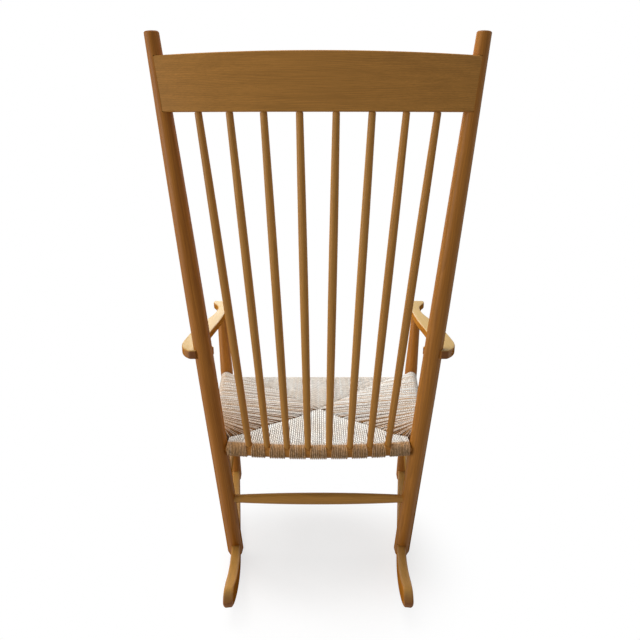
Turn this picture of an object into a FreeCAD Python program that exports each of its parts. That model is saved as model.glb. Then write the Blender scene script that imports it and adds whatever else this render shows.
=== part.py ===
import FreeCAD, Part
import math
import os
from FreeCAD import Vector, Placement, Rotation

# High-backed rocking chair with a seat woven from cord, in millimetres.
# Right and left are the sitter's. X runs across, Y from front to back, Z up.
# While it is worked out, Y is zero at the foot of the front legs and Z on the floor.

# Stance of the four uprights, each a straight axis from its foot to its head
chair_height = 1080.0
post_foot_half_span = 206.5
post_head_half_span = 263.5
post_foot_back = 343.5
post_head_back = 605.0
leg_foot_half_span = 261.0
leg_head_half_span = 293.5
leg_head_forward = 16.5
rest_point_back = 293.5

# Runners
runner_radius = 1075.0
runner_height = 38.0
runner_thickness = 22.0
runner_front_reach = 450.0
runner_tail_reach = 309.0
runner_end_bulge = 8.0
runner_corner_radius = 11.0
runner_edge_radius = 4.0
runner_bend_start = 70.0
runner_tail_flare = 14.0
foot_lift = 3.0

# Rear posts, straight to the arm and then tapering to the head
post_body_radius = 19.2
post_shoulder_height = 444.0
post_upper_radius = 16.1
post_upper_height = 796.0
post_head_radius = 11.9
post_head_rounding = 1.5
post_foot_radius = 14.5
foot_taper_height = 15.0

# Front legs, fullest at the seat
leg_body_radius = 17.1
leg_seat_radius = 18.2
leg_upper_radius = 15.2
leg_upper_height = 488.0
leg_head_radius = 12.3
leg_foot_radius = 13.5
leg_peg_radius = 8.5
leg_peg_length = 12.0

# Seat rails, round in section and fined down to their tenons
rail_radius = 13.0
rail_tenon_radius = 8.5
rail_tenon_depth = 13.5
rail_neck_length = 18.0
front_rail_height = 358.5
rear_rail_height = 313.0
side_rail_rise = 24.0
rear_rail_bow = 22.0

# Stretchers, swelled between slim ends
rear_stretcher_height = 172.0
rear_stretcher_radius = 13.6
front_stretcher_height = 164.0
front_stretcher_radius = 11.5
side_stretcher_front_height = 198.0
side_stretcher_back_height = 202.5
side_stretcher_radius = 11.5
stretcher_end_radius = 9.2
stretcher_tenon_depth = 14.0

# Crest rail, a board bent to a long curve and let into the back of both posts
crest_top_height = 1047.2
crest_board_height = 78.5
crest_arch = 4.5
crest_bow = 25.0
crest_thickness = 18.5
crest_proud = 0.5
crest_edge_radius = 2.5

# Spindles
spindle_count = 8
spindle_seat_pitch = 46.2
spindle_crest_pitch = 59.8
spindle_crowding = 0.0044
spindle_bottom_radius = 6.9
spindle_swell_radius = 8.25
spindle_top_radius = 6.1
spindle_tenon_radius = 5.0
spindle_swell_share = 0.37
spindle_rail_depth = 12.0
spindle_crest_depth = 15.0
spindle_shoulder_gap = 0.6

# Arms, sawn from a board and laid on a slope that falls to the back
arm_leg_height = 600.0
arm_post_height = 548.5
arm_thickness = 18.0
arm_front_overhang = 36.0
arm_back_overhang = 17.5
arm_breadth = 60.0
arm_edge_radius = 3.0
arm_corner_radius = 5.0
arm_heel_radius = 9.0
# Outline points: share of the arm's length from its front end, then share of its breadth
# outward from the line that joins the centres of leg and post.
arm_inner_shares = ((0.0, -0.49), (0.106, -0.48), (0.25, -0.4), (0.526, -0.217), (0.687, -0.05),
                    (0.839, 0.02), (0.903, -0.06), (0.93, -0.26), (0.94, -0.42))
arm_outer_shares = ((1.0, 0.45), (0.967, 0.66), (0.919, 0.79), (0.82, 0.79), (0.72, 0.71),
                    (0.445, 0.28), (0.271, 0.04), (0.223, 0.03), (0.16, 0.07), (0.105, 0.2),
                    (0.05, 0.35), (0.0, 0.33))
arm_lobe_share = 0.24

# Seat woven over all four rails from cord
cord_diameter = 3.4
weave_front_corner_share = 0.87
weave_rear_corner_share = 0.94
weave_centre_share = 0.56
weave_sink = 1.0
weave_centre_thickness = 12.0
weave_clearance = 0.3
weave_slot_clearance = 1.0

# Fits
glue_gap = 0.05
socket_floor_gap = 1.0
shoulder_gap = 1.5
overrun = 60.0


# Point at a share of the way from one point to another.
def between(start, end, share):
    return start + (end - start) * share


# Turns a shape drawn up the Z axis so that it runs from one point towards another.
def stand(shape, start, towards):
    turned = shape.copy()
    turned.Placement = Placement(start, Rotation(Vector(0, 0, 1), towards - start))
    return turned


# Solid of revolution along Z. Each step is a line to one (radius, height),
# or an arc through one (radius, height) to another.
def turning(first, steps):
    here = Vector(first[0], 0, first[1])
    edges = [Part.makeLine(Vector(0, 0, first[1]), here)]
    for step in steps:
        stops = [Vector(radius, 0, height) for radius, height in step]
        if len(stops) == 1:
            edges.append(Part.makeLine(here, stops[0]))
        else:
            edges.append(Part.Arc(here, stops[0], stops[1]).toShape())
        here = stops[-1]
    edges.append(Part.makeLine(here, Vector(0, 0, here.z)))
    edges.append(Part.makeLine(Vector(0, 0, here.z), Vector(0, 0, first[1])))
    face = Part.Face(Part.Wire(edges))
    return face.revolve(Vector(0, 0, 0), Vector(0, 0, 1), 360)


# Copy of a shape moved from the frame it was drawn in.
def placed(shape, place):
    moved = shape.copy()
    moved.Placement = place.multiply(moved.Placement)
    return moved


# Plain round bar from one point along a direction.
def bar(radius, start, towards, length):
    return stand(Part.makeCylinder(radius, length), start, towards)


# Mirror image across the plane between right and left.
def mirrored(shape):
    return shape.mirror(Vector(0, 0, 0), Vector(1, 0, 0))


# Lowest point of the runners' tread at a distance behind the front legs' feet.
def tread_height(back):
    reach = (back - rest_point_back) / math.cos(runner_toe_angle())
    return runner_radius - math.sqrt(runner_radius ** 2 - reach ** 2)


# The runners close in towards the back by this angle, in radians.
def runner_toe_angle():
    return math.atan2(leg_foot_half_span - post_foot_half_span, post_foot_back)


# Foot and head of the left post's axis. The foot sits just above the tread.
def post_ends():
    foot = Vector(post_foot_half_span, post_foot_back, tread_height(post_foot_back) + foot_lift)
    return foot, Vector(post_head_half_span, post_head_back, chair_height)


# Foot and head of the left leg's axis. The head is where it meets the top of the arm.
def leg_ends():
    foot = Vector(leg_foot_half_span, 0, tread_height(0) + foot_lift)
    return foot, Vector(leg_head_half_span, -leg_head_forward, arm_leg_height)


# Point of an upright's axis at a height, and its distance from the foot.
def at_height(ends, height):
    foot, head = ends
    return between(foot, head, (height - foot.z) / (head.z - foot.z))


def along(ends, height):
    return (at_height(ends, height) - ends[0]).Length


# Left rear post: a straight shaft that tapers above the arm, slimmer at the foot
# where it becomes the runner's cheeks, and lightly rounded at the head.
def post_blank(extra=0.0):
    ends = post_ends()
    length = (ends[1] - ends[0]).Length
    head = post_head_radius + extra
    body = post_body_radius + extra
    steps = [[(body, foot_taper_height)],
             [(body, along(ends, post_shoulder_height))],
             [(post_upper_radius + extra, along(ends, post_upper_height)),
              (head, length - post_head_rounding)],
             [(head - post_head_rounding, length)]]
    return stand(turning((post_foot_radius + extra, 0), steps), *ends)


# Left front leg: fullest just above the side rail and drawn in from there, cut off under the arm.
def leg_blank():
    ends = leg_ends()
    seat = along(ends, front_rail_height + side_rail_rise + leg_seat_radius)
    length = (ends[1] - ends[0]).Length
    middle_radius = (leg_body_radius + leg_seat_radius) / 2
    steps = [[(leg_body_radius, foot_taper_height)],
             [(middle_radius, seat / 2), (leg_seat_radius, seat)],
             [(leg_upper_radius, along(ends, leg_upper_height)), (leg_head_radius, length)]]
    return stand(turning((leg_foot_radius, 0), steps), *ends)


# Peg on the head of the leg, or the hole for it in the arm.
def leg_peg(extra=0.0):
    foot, head = leg_ends()
    up = (head - foot).normalize()
    start = head - up * (arm_thickness + leg_peg_length)
    length = leg_peg_length + leg_peg_length
    if extra:
        length += socket_floor_gap
    return bar(leg_peg_radius + extra, start, head, length)


# Where the runners' own frame stands: its origin under the rest point, Y along the runner.
def runner_place():
    half_span = leg_foot_half_span - rest_point_back * math.tan(runner_toe_angle())
    turn = Rotation(Vector(0, 0, 1), math.degrees(runner_toe_angle()))
    return Placement(Vector(half_span, rest_point_back, 0), turn)


# Plan of the runner, straight to behind the post and then bent outward in one arc to its tail.
def runner_plan():
    half = runner_thickness / 2
    run = runner_tail_reach - runner_bend_start
    radius = (run ** 2 + runner_tail_flare ** 2) / (runner_tail_flare + runner_tail_flare)
    far = math.asin((run + overrun) / radius)

    def at(offset, angle):
        reach = radius - offset
        return Vector(radius - reach * math.cos(angle), runner_bend_start + reach * math.sin(angle), 0)

    front = -runner_front_reach - overrun
    corners = [Vector(-half, front, 0), Vector(half, front, 0)]
    outer = Part.Arc(at(half, 0), at(half, far / 2), at(half, far)).toShape()
    inner = Part.Arc(at(-half, far), at(-half, far / 2), at(-half, 0)).toShape()
    outline = Part.Wire([Part.makeLine(corners[0], corners[1]), Part.makeLine(corners[1], at(half, 0)),
                         outer, Part.makeLine(at(half, far), at(-half, far)), inner,
                         Part.makeLine(at(-half, 0), corners[0])])
    return Part.Face(outline).extrude(Vector(0, 0, runner_radius))


# Curved band between two radii about the runner's centre, bulged at both ends.
def runner_band(low, high, thickness):
    front = -math.asin(runner_front_reach / runner_radius)
    tail = math.asin(runner_tail_reach / runner_radius)
    middle = (front + tail) / 2
    waist = (low + high) / 2
    bulge = runner_end_bulge / runner_radius

    def at(radius, angle):
        return Vector(-thickness / 2, radius * math.sin(angle), runner_radius - radius * math.cos(angle))

    def arc(*stops):
        return Part.Arc(*[at(*stop) for stop in stops]).toShape()

    outline = Part.Wire([arc((low, front), (low, middle), (low, tail)),
                         arc((low, tail), (waist, tail + bulge), (high, tail)),
                         arc((high, tail), (high, middle), (high, front)),
                         arc((high, front), (waist, front - bulge), (low, front))])
    return Part.Face(outline).extrude(Vector(thickness, 0, 0))


# An edge that runs mostly from side to side.
def runs_across(edge):
    box = edge.BoundBox
    return box.XLength > box.YLength + box.ZLength


# Left runner: a curved bar on edge with rounded ends and softened edges.
def runner():
    blank = runner_band(runner_radius, runner_radius - runner_height, overrun + overrun).common(runner_plan())
    blank = blank.makeFillet(runner_corner_radius, [edge for edge in blank.Edges if runs_across(edge)])
    rims = [edge for edge in blank.Edges if not runs_across(edge)]
    return placed(blank.makeFillet(runner_edge_radius, rims), runner_place())


# What a foot loses: the slot over the runner, and all that would reach near the tread.
def foot_cuts():
    slot = runner_band(runner_radius + overrun, runner_radius - runner_height - glue_gap,
                       runner_thickness + glue_gap + glue_gap)
    below = runner_band(runner_radius + overrun, runner_radius - foot_lift, overrun + overrun)
    return [placed(slot, runner_place()), placed(below, runner_place())]


# Round rail between two upright axes: tenon, neck, body, neck and tenon.
def straight_rail(start, end, start_radius, end_radius):
    length = (end - start).Length
    first = start_radius - rail_tenon_depth
    last = length - end_radius + rail_tenon_depth
    near = start_radius + shoulder_gap
    far = length - end_radius - shoulder_gap
    steps = [[(rail_tenon_radius, near)],
             [(rail_radius, near + rail_neck_length)],
             [(rail_radius, far - rail_neck_length)],
             [(rail_tenon_radius, far)],
             [(rail_tenon_radius, last)]]
    return stand(turning((rail_tenon_radius, first), steps), start, end)


# Socket in an upright, from its axis point, for a round end that comes from another point.
def socket(axis_point, towards, upright_radius, radius, depth):
    deep = depth + socket_floor_gap
    start = axis_point + (towards - axis_point).normalize() * (upright_radius - deep)
    return bar(radius + glue_gap, start, towards, deep + overrun)


# Ends of the straight rails, on the axes of the uprights: the front one's left end
# and both ends of the left side's.
def front_rail_end():
    return at_height(leg_ends(), front_rail_height)


def side_rail_ends():
    return (at_height(leg_ends(), front_rail_height + side_rail_rise),
            at_height(post_ends(), rear_rail_height + side_rail_rise))


# Slope of the seat, in radians, down to the back.
def seat_slope():
    front = at_height(leg_ends(), front_rail_height)
    rear = at_height(post_ends(), rear_rail_height)
    return math.atan2(front.z - rear.z, rear.y - front.y)


# The bowed rear rail's arc: half its chord, its radius and the angle where its necks start.
def rear_arc():
    chord = at_height(post_ends(), rear_rail_height).x
    radius = (chord ** 2 + rear_rail_bow ** 2) / (rear_rail_bow + rear_rail_bow)
    straight = post_body_radius + shoulder_gap + rail_neck_length
    return chord, radius, math.asin(chord / radius) - straight / radius


# Frame of the seat: X across, Y to the back along the seat, Z square to it,
# with its origin midway between the ends of the rear rail.
def seat_place():
    rear = at_height(post_ends(), rear_rail_height)
    return Placement(Vector(0, rear.y, rear.z), Rotation(Vector(1, 0, 0), -math.degrees(seat_slope())))


# Stretch of the rear rail's curve as a round bar of any radius.
def rear_sweep(radius, angle):
    arc_radius = rear_arc()[1]
    centre = Vector(0, rear_rail_bow - arc_radius, 0)
    start = centre + Vector(-math.sin(angle), math.cos(angle), 0) * arc_radius
    section = Part.makeCircle(radius, start, Vector(math.cos(angle), math.sin(angle), 0))
    disc = Part.Face(Part.Wire(section))
    return disc.revolve(centre, Vector(0, 0, 1), -math.degrees(angle + angle))


# Where the rear rail's curve ends on the left, and a point further along its straight end.
def rear_rail_straight():
    chord, radius, angle = rear_arc()
    start = Vector(math.sin(angle), math.cos(angle), 0) * radius + Vector(0, rear_rail_bow - radius, 0)
    return start, start + Vector(math.cos(angle), -math.sin(angle), 0) * rail_neck_length


# Left end of the rear rail: a neck and a tenon that carry on straight from the curve.
def rear_rail_end():
    tenon = rail_neck_length + shoulder_gap + rail_tenon_depth
    steps = [[(rail_tenon_radius, rail_neck_length)], [(rail_tenon_radius, tenon)]]
    return stand(turning((rail_radius, 0), steps), *rear_rail_straight())


# Straight bore along the rear rail's left end: the tenon's socket, or the weave's own bore.
def rear_rail_bore(radius):
    start, towards = rear_rail_straight()
    depth = rail_neck_length + shoulder_gap + rail_tenon_depth + socket_floor_gap
    return placed(bar(radius, start, towards, depth), seat_place())


# How far the rear rail's curve stands behind the line between its ends.
def rear_bow_at(across):
    radius = rear_arc()[1]
    return rear_rail_bow - radius + math.sqrt(radius ** 2 - across ** 2)


# Whole rear rail: the bowed stretch and its two straight ends.
def rear_rail():
    bowed = rear_sweep(rail_radius, rear_arc()[2])
    whole = bowed.fuse([rear_rail_end(), mirrored(rear_rail_end())]).removeSplitter()
    return placed(whole, seat_place())


# Swelled stretcher between two upright axes.
def stretcher(start, end, start_radius, end_radius, middle_radius):
    length = (end - start).Length
    first = start_radius - stretcher_tenon_depth
    last = length - end_radius + stretcher_tenon_depth
    near = start_radius + shoulder_gap
    far = length - end_radius - shoulder_gap
    swell = [(middle_radius, (near + far) / 2), (stretcher_end_radius, far)]
    steps = [[(stretcher_end_radius, near)], swell, [(stretcher_end_radius, last)]]
    return stand(turning((stretcher_end_radius, first), steps), start, end)


# Left ends of the stretchers that cross the chair, and both ends of the left side's.
def rear_stretcher_end():
    return at_height(post_ends(), rear_stretcher_height)


def front_stretcher_end():
    return at_height(leg_ends(), front_stretcher_height)


def side_stretcher_ends():
    return (at_height(leg_ends(), side_stretcher_front_height),
            at_height(post_ends(), side_stretcher_back_height))


def across_from(point):
    return Vector(-point.x, point.y, point.z)


# Lean of the posts in radians, and the height up their plane of a level above the floor.
def post_lean():
    foot, head = post_ends()
    return math.atan2(head.y - foot.y, head.z - foot.z)


def up_back(height):
    return (height - post_ends()[0].z) / math.cos(post_lean())


# Frame of the back: X across, Y square to it, Z up its slope from the post's foot.
def back_place():
    foot = post_ends()[0]
    turn = Rotation(Vector(1, 0, 0), -math.degrees(post_lean()))
    return Placement(Vector(0, foot.y, foot.z), turn)


# Half the distance between the post axes at a height up the back's slope.
def back_half_span(up):
    foot, head = post_ends()
    return foot.x + (head.x - foot.x) * up / up_back(head.z)


# Depth of the crest rail's back face, square to the back, at a distance from its middle.
def crest_depth(across):
    half = crest_half_span()
    radius = (half ** 2 + crest_bow ** 2) / (crest_bow + crest_bow)
    return crest_back_at_post() + crest_bow - radius + math.sqrt(radius ** 2 - across ** 2)


def crest_half_span():
    return back_half_span(up_back(crest_top_height))


def crest_back_at_post():
    return post_head_radius + crest_proud


# Crest rail, or the notches for it, which are open to the back.
def crest_blank(extra=0.0):
    half = crest_half_span()
    low = up_back(crest_top_height - crest_board_height) - extra
    high = up_back(crest_top_height) + extra
    low_half = back_half_span(low) + extra
    high_half = back_half_span(high) + extra
    corners = [Vector(-high_half, -overrun, high), Vector(-low_half, -overrun, low),
               Vector(low_half, -overrun, low), Vector(high_half, -overrun, high)]
    top = Part.Arc(corners[3], Vector(0, -overrun, high + crest_arch), corners[0]).toShape()
    sides = [Part.makeLine(corners[i], corners[i + 1]) for i in range(len(corners) - 1)]
    outline = Part.Face(Part.Wire(sides + [top])).extrude(Vector(0, overrun + overrun, 0))

    reach = half + overrun
    middle = Vector(0, crest_depth(0), 0)
    back = [Vector(-reach, crest_depth(reach), 0), middle, Vector(reach, crest_depth(reach), 0)]
    thickness = Vector(0, crest_thickness + extra, 0)
    front = [point - thickness for point in back]
    if extra:
        back = [point + Vector(0, overrun, 0) for point in back]
    band = Part.Wire([Part.Arc(*back).toShape(), Part.makeLine(back[2], front[2]),
                      Part.Arc(front[2], front[1], front[0]).toShape(),
                      Part.makeLine(front[0], back[0])])
    bent = Part.Face(band).extrude(Vector(0, 0, high + overrun))
    return placed(bent.common(outline), back_place())


def crest_rail():
    blank = crest_blank()
    long_edges = [edge for edge in blank.Edges if edge.Length > crest_half_span()]
    return blank.makeFillet(crest_edge_radius, long_edges)


# Distance of a spindle from the middle. Its place is counted in pitches, positive to the left,
# and the pitches close up a little towards the posts.
def spindle_across(place, pitch):
    return place * pitch * (1 - spindle_crowding * place ** 2)


# Where a spindle starts on the rear rail's axis and where it enters the crest rail.
def spindle_ends(place):
    across = spindle_across(place, spindle_seat_pitch)
    bottom = seat_place().multVec(Vector(across, rear_bow_at(across), 0))
    across = spindle_across(place, spindle_crest_pitch)
    depth = crest_depth(across) - crest_thickness / 2
    top = back_place().multVec(Vector(across, depth, up_back(crest_top_height - crest_board_height)))
    return bottom, top


# Spindle, swelled below its middle, with a plain foot for the rail and a slim tenon
# for the crest.
def spindle(place):
    bottom, top = spindle_ends(place)
    length = (top - bottom).Length
    shoulder = length - spindle_shoulder_gap
    swell = rail_radius + (length - rail_radius) * spindle_swell_share
    steps = [[(spindle_bottom_radius, rail_radius)],
             [(spindle_swell_radius, swell), (spindle_top_radius, shoulder)],
             [(spindle_tenon_radius, shoulder)],
             [(spindle_tenon_radius, length + spindle_crest_depth)]]
    first = rail_radius - spindle_rail_depth
    return stand(turning((spindle_bottom_radius, first), steps), bottom, top)


def spindle_rail_socket(place):
    bottom, top = spindle_ends(place)
    low = rail_radius - spindle_rail_depth - socket_floor_gap
    start = bottom + (top - bottom).normalize() * low
    return bar(spindle_bottom_radius + glue_gap, start, top, overrun)


def spindle_crest_socket(place):
    bottom, top = spindle_ends(place)
    start = top + (top - bottom).normalize() * (spindle_crest_depth + socket_floor_gap)
    return bar(spindle_tenon_radius + glue_gap, start, bottom, overrun)


def spindle_places():
    return [number - (spindle_count - 1) / 2 for number in range(spindle_count)]


# Points of the arm's outline, drawn flat: X across, Y back from the leg's axis.
def arm_point(length_share, breadth_share):
    leg = leg_ends()[1]
    post = at_height(post_ends(), arm_post_height)
    run = math.hypot(post.y - leg.y, leg.z - post.z)
    length = run + arm_front_overhang + arm_back_overhang
    back = length_share * length - arm_front_overhang
    across = leg.x + (post.x - leg.x) * back / run + breadth_share * arm_breadth
    return Vector(across, back, 0)


def smooth_edge(points):
    curve = Part.BSplineCurve()
    curve.interpolate(points)
    return curve.toShape()


# Frame of the left arm's top: Y runs back down its slope from the leg's axis.
def arm_place():
    leg = leg_ends()[1]
    post = at_height(post_ends(), arm_post_height)
    slope = math.degrees(math.atan2(leg.z - post.z, post.y - leg.y))
    return Placement(Vector(0, leg.y, leg.z), Rotation(Vector(1, 0, 0), -slope))


# An upright edge that passes through a point of the outline.
def stands_at(edge, point):
    return (edge.BoundBox.Center - Vector(point.x, point.y, edge.BoundBox.Center.z)).Length < glue_gap


# Left arm: one sawn outline with a flared front and a notch that the post stands in.
def arm():
    inner = [arm_point(*share) for share in arm_inner_shares]
    outer = [arm_point(*share) for share in arm_outer_shares]
    post = arm_place().inverse().multVec(at_height(post_ends(), arm_post_height))
    lobe = arm_point(arm_outer_shares[0][0], arm_lobe_share)
    edges = [smooth_edge(inner), Part.makeLine(inner[-1], post), Part.makeLine(post, lobe),
             Part.makeLine(lobe, outer[0]), smooth_edge(outer),
             Part.makeLine(outer[-1], inner[0])]
    board = Part.Face(Part.Wire(edges)).extrude(Vector(0, 0, -arm_thickness))
    upright = [edge for edge in board.Edges if edge.BoundBox.ZLength > arm_thickness / 2]
    front = [edge for edge in upright if edge.BoundBox.YMax < -arm_front_overhang / 2]
    heels = [edge for edge in upright if stands_at(edge, outer[0])]
    lobes = [edge for edge in upright if stands_at(edge, inner[-1])]
    board = board.makeFillet(arm_heel_radius, heels).makeFillet(arm_corner_radius, front + lobes)
    level = [edge for edge in board.Edges if edge.BoundBox.ZLength < arm_thickness / 2]
    rims = [edge for edge in level if edge.BoundBox.YMin < post.y - arm_breadth]
    return placed(board.makeFillet(arm_edge_radius, rims), arm_place())


# Everything above the underside of the arm, where the leg stops.
def above_underside():
    low = Vector(0, -overrun, -arm_thickness - glue_gap)
    reach = leg_head_half_span + overrun
    return placed(Part.makeBox(reach, overrun + overrun, overrun, low), arm_place())


# Left rear post with its crest notch, foot slot and sockets.
def rear_post():
    rear = at_height(post_ends(), rear_rail_height)
    rail_front, rail_back = side_rail_ends()
    side_front, side_back = side_stretcher_ends()
    low = rear_stretcher_end()
    holes = [rear_rail_bore(rail_tenon_radius + glue_gap),
             socket(rail_back, rail_front, post_body_radius, rail_tenon_radius, rail_tenon_depth),
             socket(low, across_from(low), post_body_radius, stretcher_end_radius, stretcher_tenon_depth),
             socket(side_back, side_front, post_body_radius, stretcher_end_radius, stretcher_tenon_depth)]
    return post_blank().cut(holes + foot_cuts() + [crest_blank(glue_gap)])


# Left front leg with the peg on its head, its foot slot and sockets.
def front_leg():
    rail_front, rail_back = side_rail_ends()
    side_front, side_back = side_stretcher_ends()
    low = front_stretcher_end()
    high = front_rail_end()
    holes = [socket(high, across_from(high), leg_seat_radius, rail_tenon_radius, rail_tenon_depth),
             socket(rail_front, rail_back, leg_seat_radius, rail_tenon_radius, rail_tenon_depth),
             socket(low, across_from(low), leg_body_radius, stretcher_end_radius, stretcher_tenon_depth),
             socket(side_front, side_back, leg_body_radius, stretcher_end_radius, stretcher_tenon_depth)]
    shaft = leg_blank().cut(holes + foot_cuts() + [above_underside()])
    return shaft.fuse(leg_peg()).removeSplitter()


# Top and underside of the weave at a point of the seat.
def weave_faces(point, thickness):
    top = Vector(point.x, point.y, point.z + weave_rim() / 2)
    return top, Vector(top.x, top.y, top.z - thickness)


# Thickness of the weave at the rails, where the panels run into the windings.
def weave_rim():
    half = rail_radius + cord_diameter - weave_sink
    return half + half


# Closed solid with flat faces, each a loop of corner points.
def flat_sided(loops):
    faces = [Part.Face(Part.makePolygon(list(loop) + [loop[0]])) for loop in loops]
    return Part.Solid(Part.Shell(faces))


# Corners of the panels in the seat's frame: the centre and the left ends of both seams.
def weave_corners():
    front = seat_place().inverse().multVec(front_rail_end())
    front_seam = Vector(front.x * weave_front_corner_share, front.y, 0)
    across = rear_arc()[0] * weave_rear_corner_share
    rear_seam = Vector(across, rear_bow_at(across), 0)
    return Vector(0, front.y * (1 - weave_centre_share), 0), front_seam, rear_seam


# Left side panel: from the raised side rail down to the centre, and down to both seams.
def side_panel():
    centre, front_seam, rear_seam = weave_corners()
    rail_front, rail_back = [seat_place().inverse().multVec(end) for end in side_rail_ends()]
    rim = weave_rim()
    tops, lows = zip(weave_faces(centre, weave_centre_thickness), weave_faces(front_seam, rim),
                     weave_faces(rail_front, rim), weave_faces(rail_back, rim),
                     weave_faces(rear_seam, rim))
    loops = [(points[0], points[i], points[i + 1]) for points in (tops, lows) for i in (1, 2, 3)]
    for i in range(len(tops)):
        loops.append((tops[i], lows[i], lows[i - 1], tops[i - 1]))
    return flat_sided(loops)


# Front panel, a triangle, and rear panel, a triangle whose base follows the bowed rail.
# Their undersides rise to the centre, where the two layers of cord come together.
def cross_panels():
    corners = weave_corners()
    centre, front, rear = [weave_faces(corner, weave_rim())[1] for corner in corners]
    bow = Vector(0, rear_rail_bow, centre.z)
    front_outline = Part.makePolygon([centre, front, across_from(front), centre])
    rear_outline = Part.Wire([Part.makeLine(centre, rear),
                              Part.Arc(rear, bow, across_from(rear)).toShape(),
                              Part.makeLine(across_from(rear), centre)])
    ridge = weave_faces(corners[0], weave_centre_thickness)[1]
    gable = [Vector(-front.x, point.y, point.z) for point in (front, ridge, rear, front)]
    hollow = Part.Face(Part.makePolygon(gable)).extrude(Vector(front.x + front.x, 0, 0))
    rise = Vector(0, 0, weave_rim())
    return [Part.Face(outline).extrude(rise).cut(hollow) for outline in (front_outline, rear_outline)]


# Gap in the winding behind a spindle, where the rear rail shows bare.
def weave_slot(place):
    half = spindle_bottom_radius + weave_slot_clearance
    across = spindle_across(place, spindle_seat_pitch)
    block = Part.makeBox(half + half, half + overrun, overrun, Vector(-half, -half, -overrun / 2))
    turn = Rotation(Vector(0, 0, 1), -math.degrees(math.asin(across / rear_arc()[1])))
    block.Placement = Placement(Vector(across, rear_bow_at(across), 0), turn)
    return placed(block, seat_place())


# Round bars along all four rails, at one radius: the windings, or the bores inside them.
def along_rails(radius):
    front = front_rail_end()
    rail_front, rail_back = side_rail_ends()
    side = bar(radius, rail_front, rail_back, (rail_back - rail_front).Length)
    rear_end = rear_rail_bore(radius)
    return [bar(radius, across_from(front), front, front.x + front.x), side, mirrored(side),
            placed(rear_sweep(radius, rear_arc()[2]), seat_place()), rear_end, mirrored(rear_end)]


# Plain round bar along an upright's whole axis.
def upright_bar(ends, radius):
    return bar(radius, ends[0], ends[1], (ends[1] - ends[0]).Length)


# Woven seat: four panels and the windings on the rails, all clear of the wood.
def seat_weave():
    panels = [side_panel(), mirrored(side_panel())] + cross_panels()
    body = placed(panels[0].fuse(panels[1:]), seat_place())
    for winding in along_rails(rail_radius + cord_diameter):
        body = body.fuse(winding)
    post = upright_bar(post_ends(), post_body_radius + weave_clearance)
    leg = upright_bar(leg_ends(), leg_seat_radius + weave_clearance)
    wood = [post, mirrored(post), leg, mirrored(leg)] + along_rails(rail_radius + weave_clearance)
    for solid in wood + [weave_slot(place) for place in spindle_places()]:
        body = body.cut(solid)
    return body.Solids[0]


# Every piece by name, still in the working frame.
def chair():
    rail_front, rail_back = side_rail_ends()
    side_front, side_back = side_stretcher_ends()
    front = front_rail_end()
    low_front = front_stretcher_end()
    low_rear = rear_stretcher_end()
    left = {
        "rear_post": rear_post(),
        "front_leg": front_leg(),
        "runner": runner(),
        "arm": arm().cut([post_blank(glue_gap), leg_peg(glue_gap)]),
        "seat_rail": straight_rail(rail_front, rail_back, leg_seat_radius, post_body_radius),
        "side_stretcher": stretcher(side_front, side_back, leg_body_radius, post_body_radius,
                                    side_stretcher_radius),
    }
    pieces = {name + "_left": shape for name, shape in left.items()}
    pieces.update({name + "_right": mirrored(shape) for name, shape in left.items()})
    places = spindle_places()
    pieces["crest_rail"] = crest_rail().cut([spindle_crest_socket(place) for place in places])
    pieces["seat_rail_rear"] = rear_rail().cut([spindle_rail_socket(place) for place in places])
    pieces["seat_rail_front"] = straight_rail(across_from(front), front, leg_seat_radius, leg_seat_radius)
    pieces["front_stretcher"] = stretcher(across_from(low_front), low_front, leg_body_radius,
                                          leg_body_radius, front_stretcher_radius)
    pieces["rear_stretcher"] = stretcher(across_from(low_rear), low_rear, post_body_radius,
                                         post_body_radius, rear_stretcher_radius)
    pieces["seat_weave"] = seat_weave()
    for number, place in enumerate(places):
        pieces["spindle_" + str(number + 1)] = spindle(place)
    return pieces


# Moves the chair so that its origin is the middle of its footprint, on the floor.
def main():
    pieces = chair()
    box = Part.makeCompound(list(pieces.values())).optimalBoundingBox()
    shift = Vector(-box.Center.x, -box.Center.y, -box.ZMin)
    os.makedirs("parts", exist_ok=True)
    for name, shape in pieces.items():
        moved = shape.copy()
        moved.translate(shift)
        moved.exportStep("parts/" + name + ".step")
        print(name, len(shape.Solids), "solid", round(shape.Volume), "mm3", shape.isValid())


main()
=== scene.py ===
# Looks of a tall spindle-back rocking chair in oiled wood, with a seat of paper cord.
# The wood pieces are the frame's own shapes with grain laid along them. The seat is wound
# strand by strand between the four rails. Lengths are in metres, and mm makes them.
import math
import bmesh
import bpy
import mathutils
import numpy as np
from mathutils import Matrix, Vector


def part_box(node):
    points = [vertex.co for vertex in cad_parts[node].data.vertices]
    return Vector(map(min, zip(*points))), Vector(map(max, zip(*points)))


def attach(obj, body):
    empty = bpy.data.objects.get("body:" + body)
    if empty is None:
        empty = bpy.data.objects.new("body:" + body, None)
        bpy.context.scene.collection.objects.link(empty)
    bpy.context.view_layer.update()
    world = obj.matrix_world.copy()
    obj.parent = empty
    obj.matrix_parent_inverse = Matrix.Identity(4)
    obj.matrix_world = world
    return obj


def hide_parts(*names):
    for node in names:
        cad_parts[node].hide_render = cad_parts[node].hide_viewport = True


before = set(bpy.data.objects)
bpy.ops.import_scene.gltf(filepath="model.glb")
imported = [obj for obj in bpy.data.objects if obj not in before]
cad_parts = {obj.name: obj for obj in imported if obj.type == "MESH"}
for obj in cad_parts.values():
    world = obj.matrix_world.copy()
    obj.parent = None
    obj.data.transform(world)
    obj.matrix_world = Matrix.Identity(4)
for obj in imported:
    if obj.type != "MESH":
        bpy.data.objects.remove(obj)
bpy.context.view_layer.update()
mm = 0.001


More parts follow.
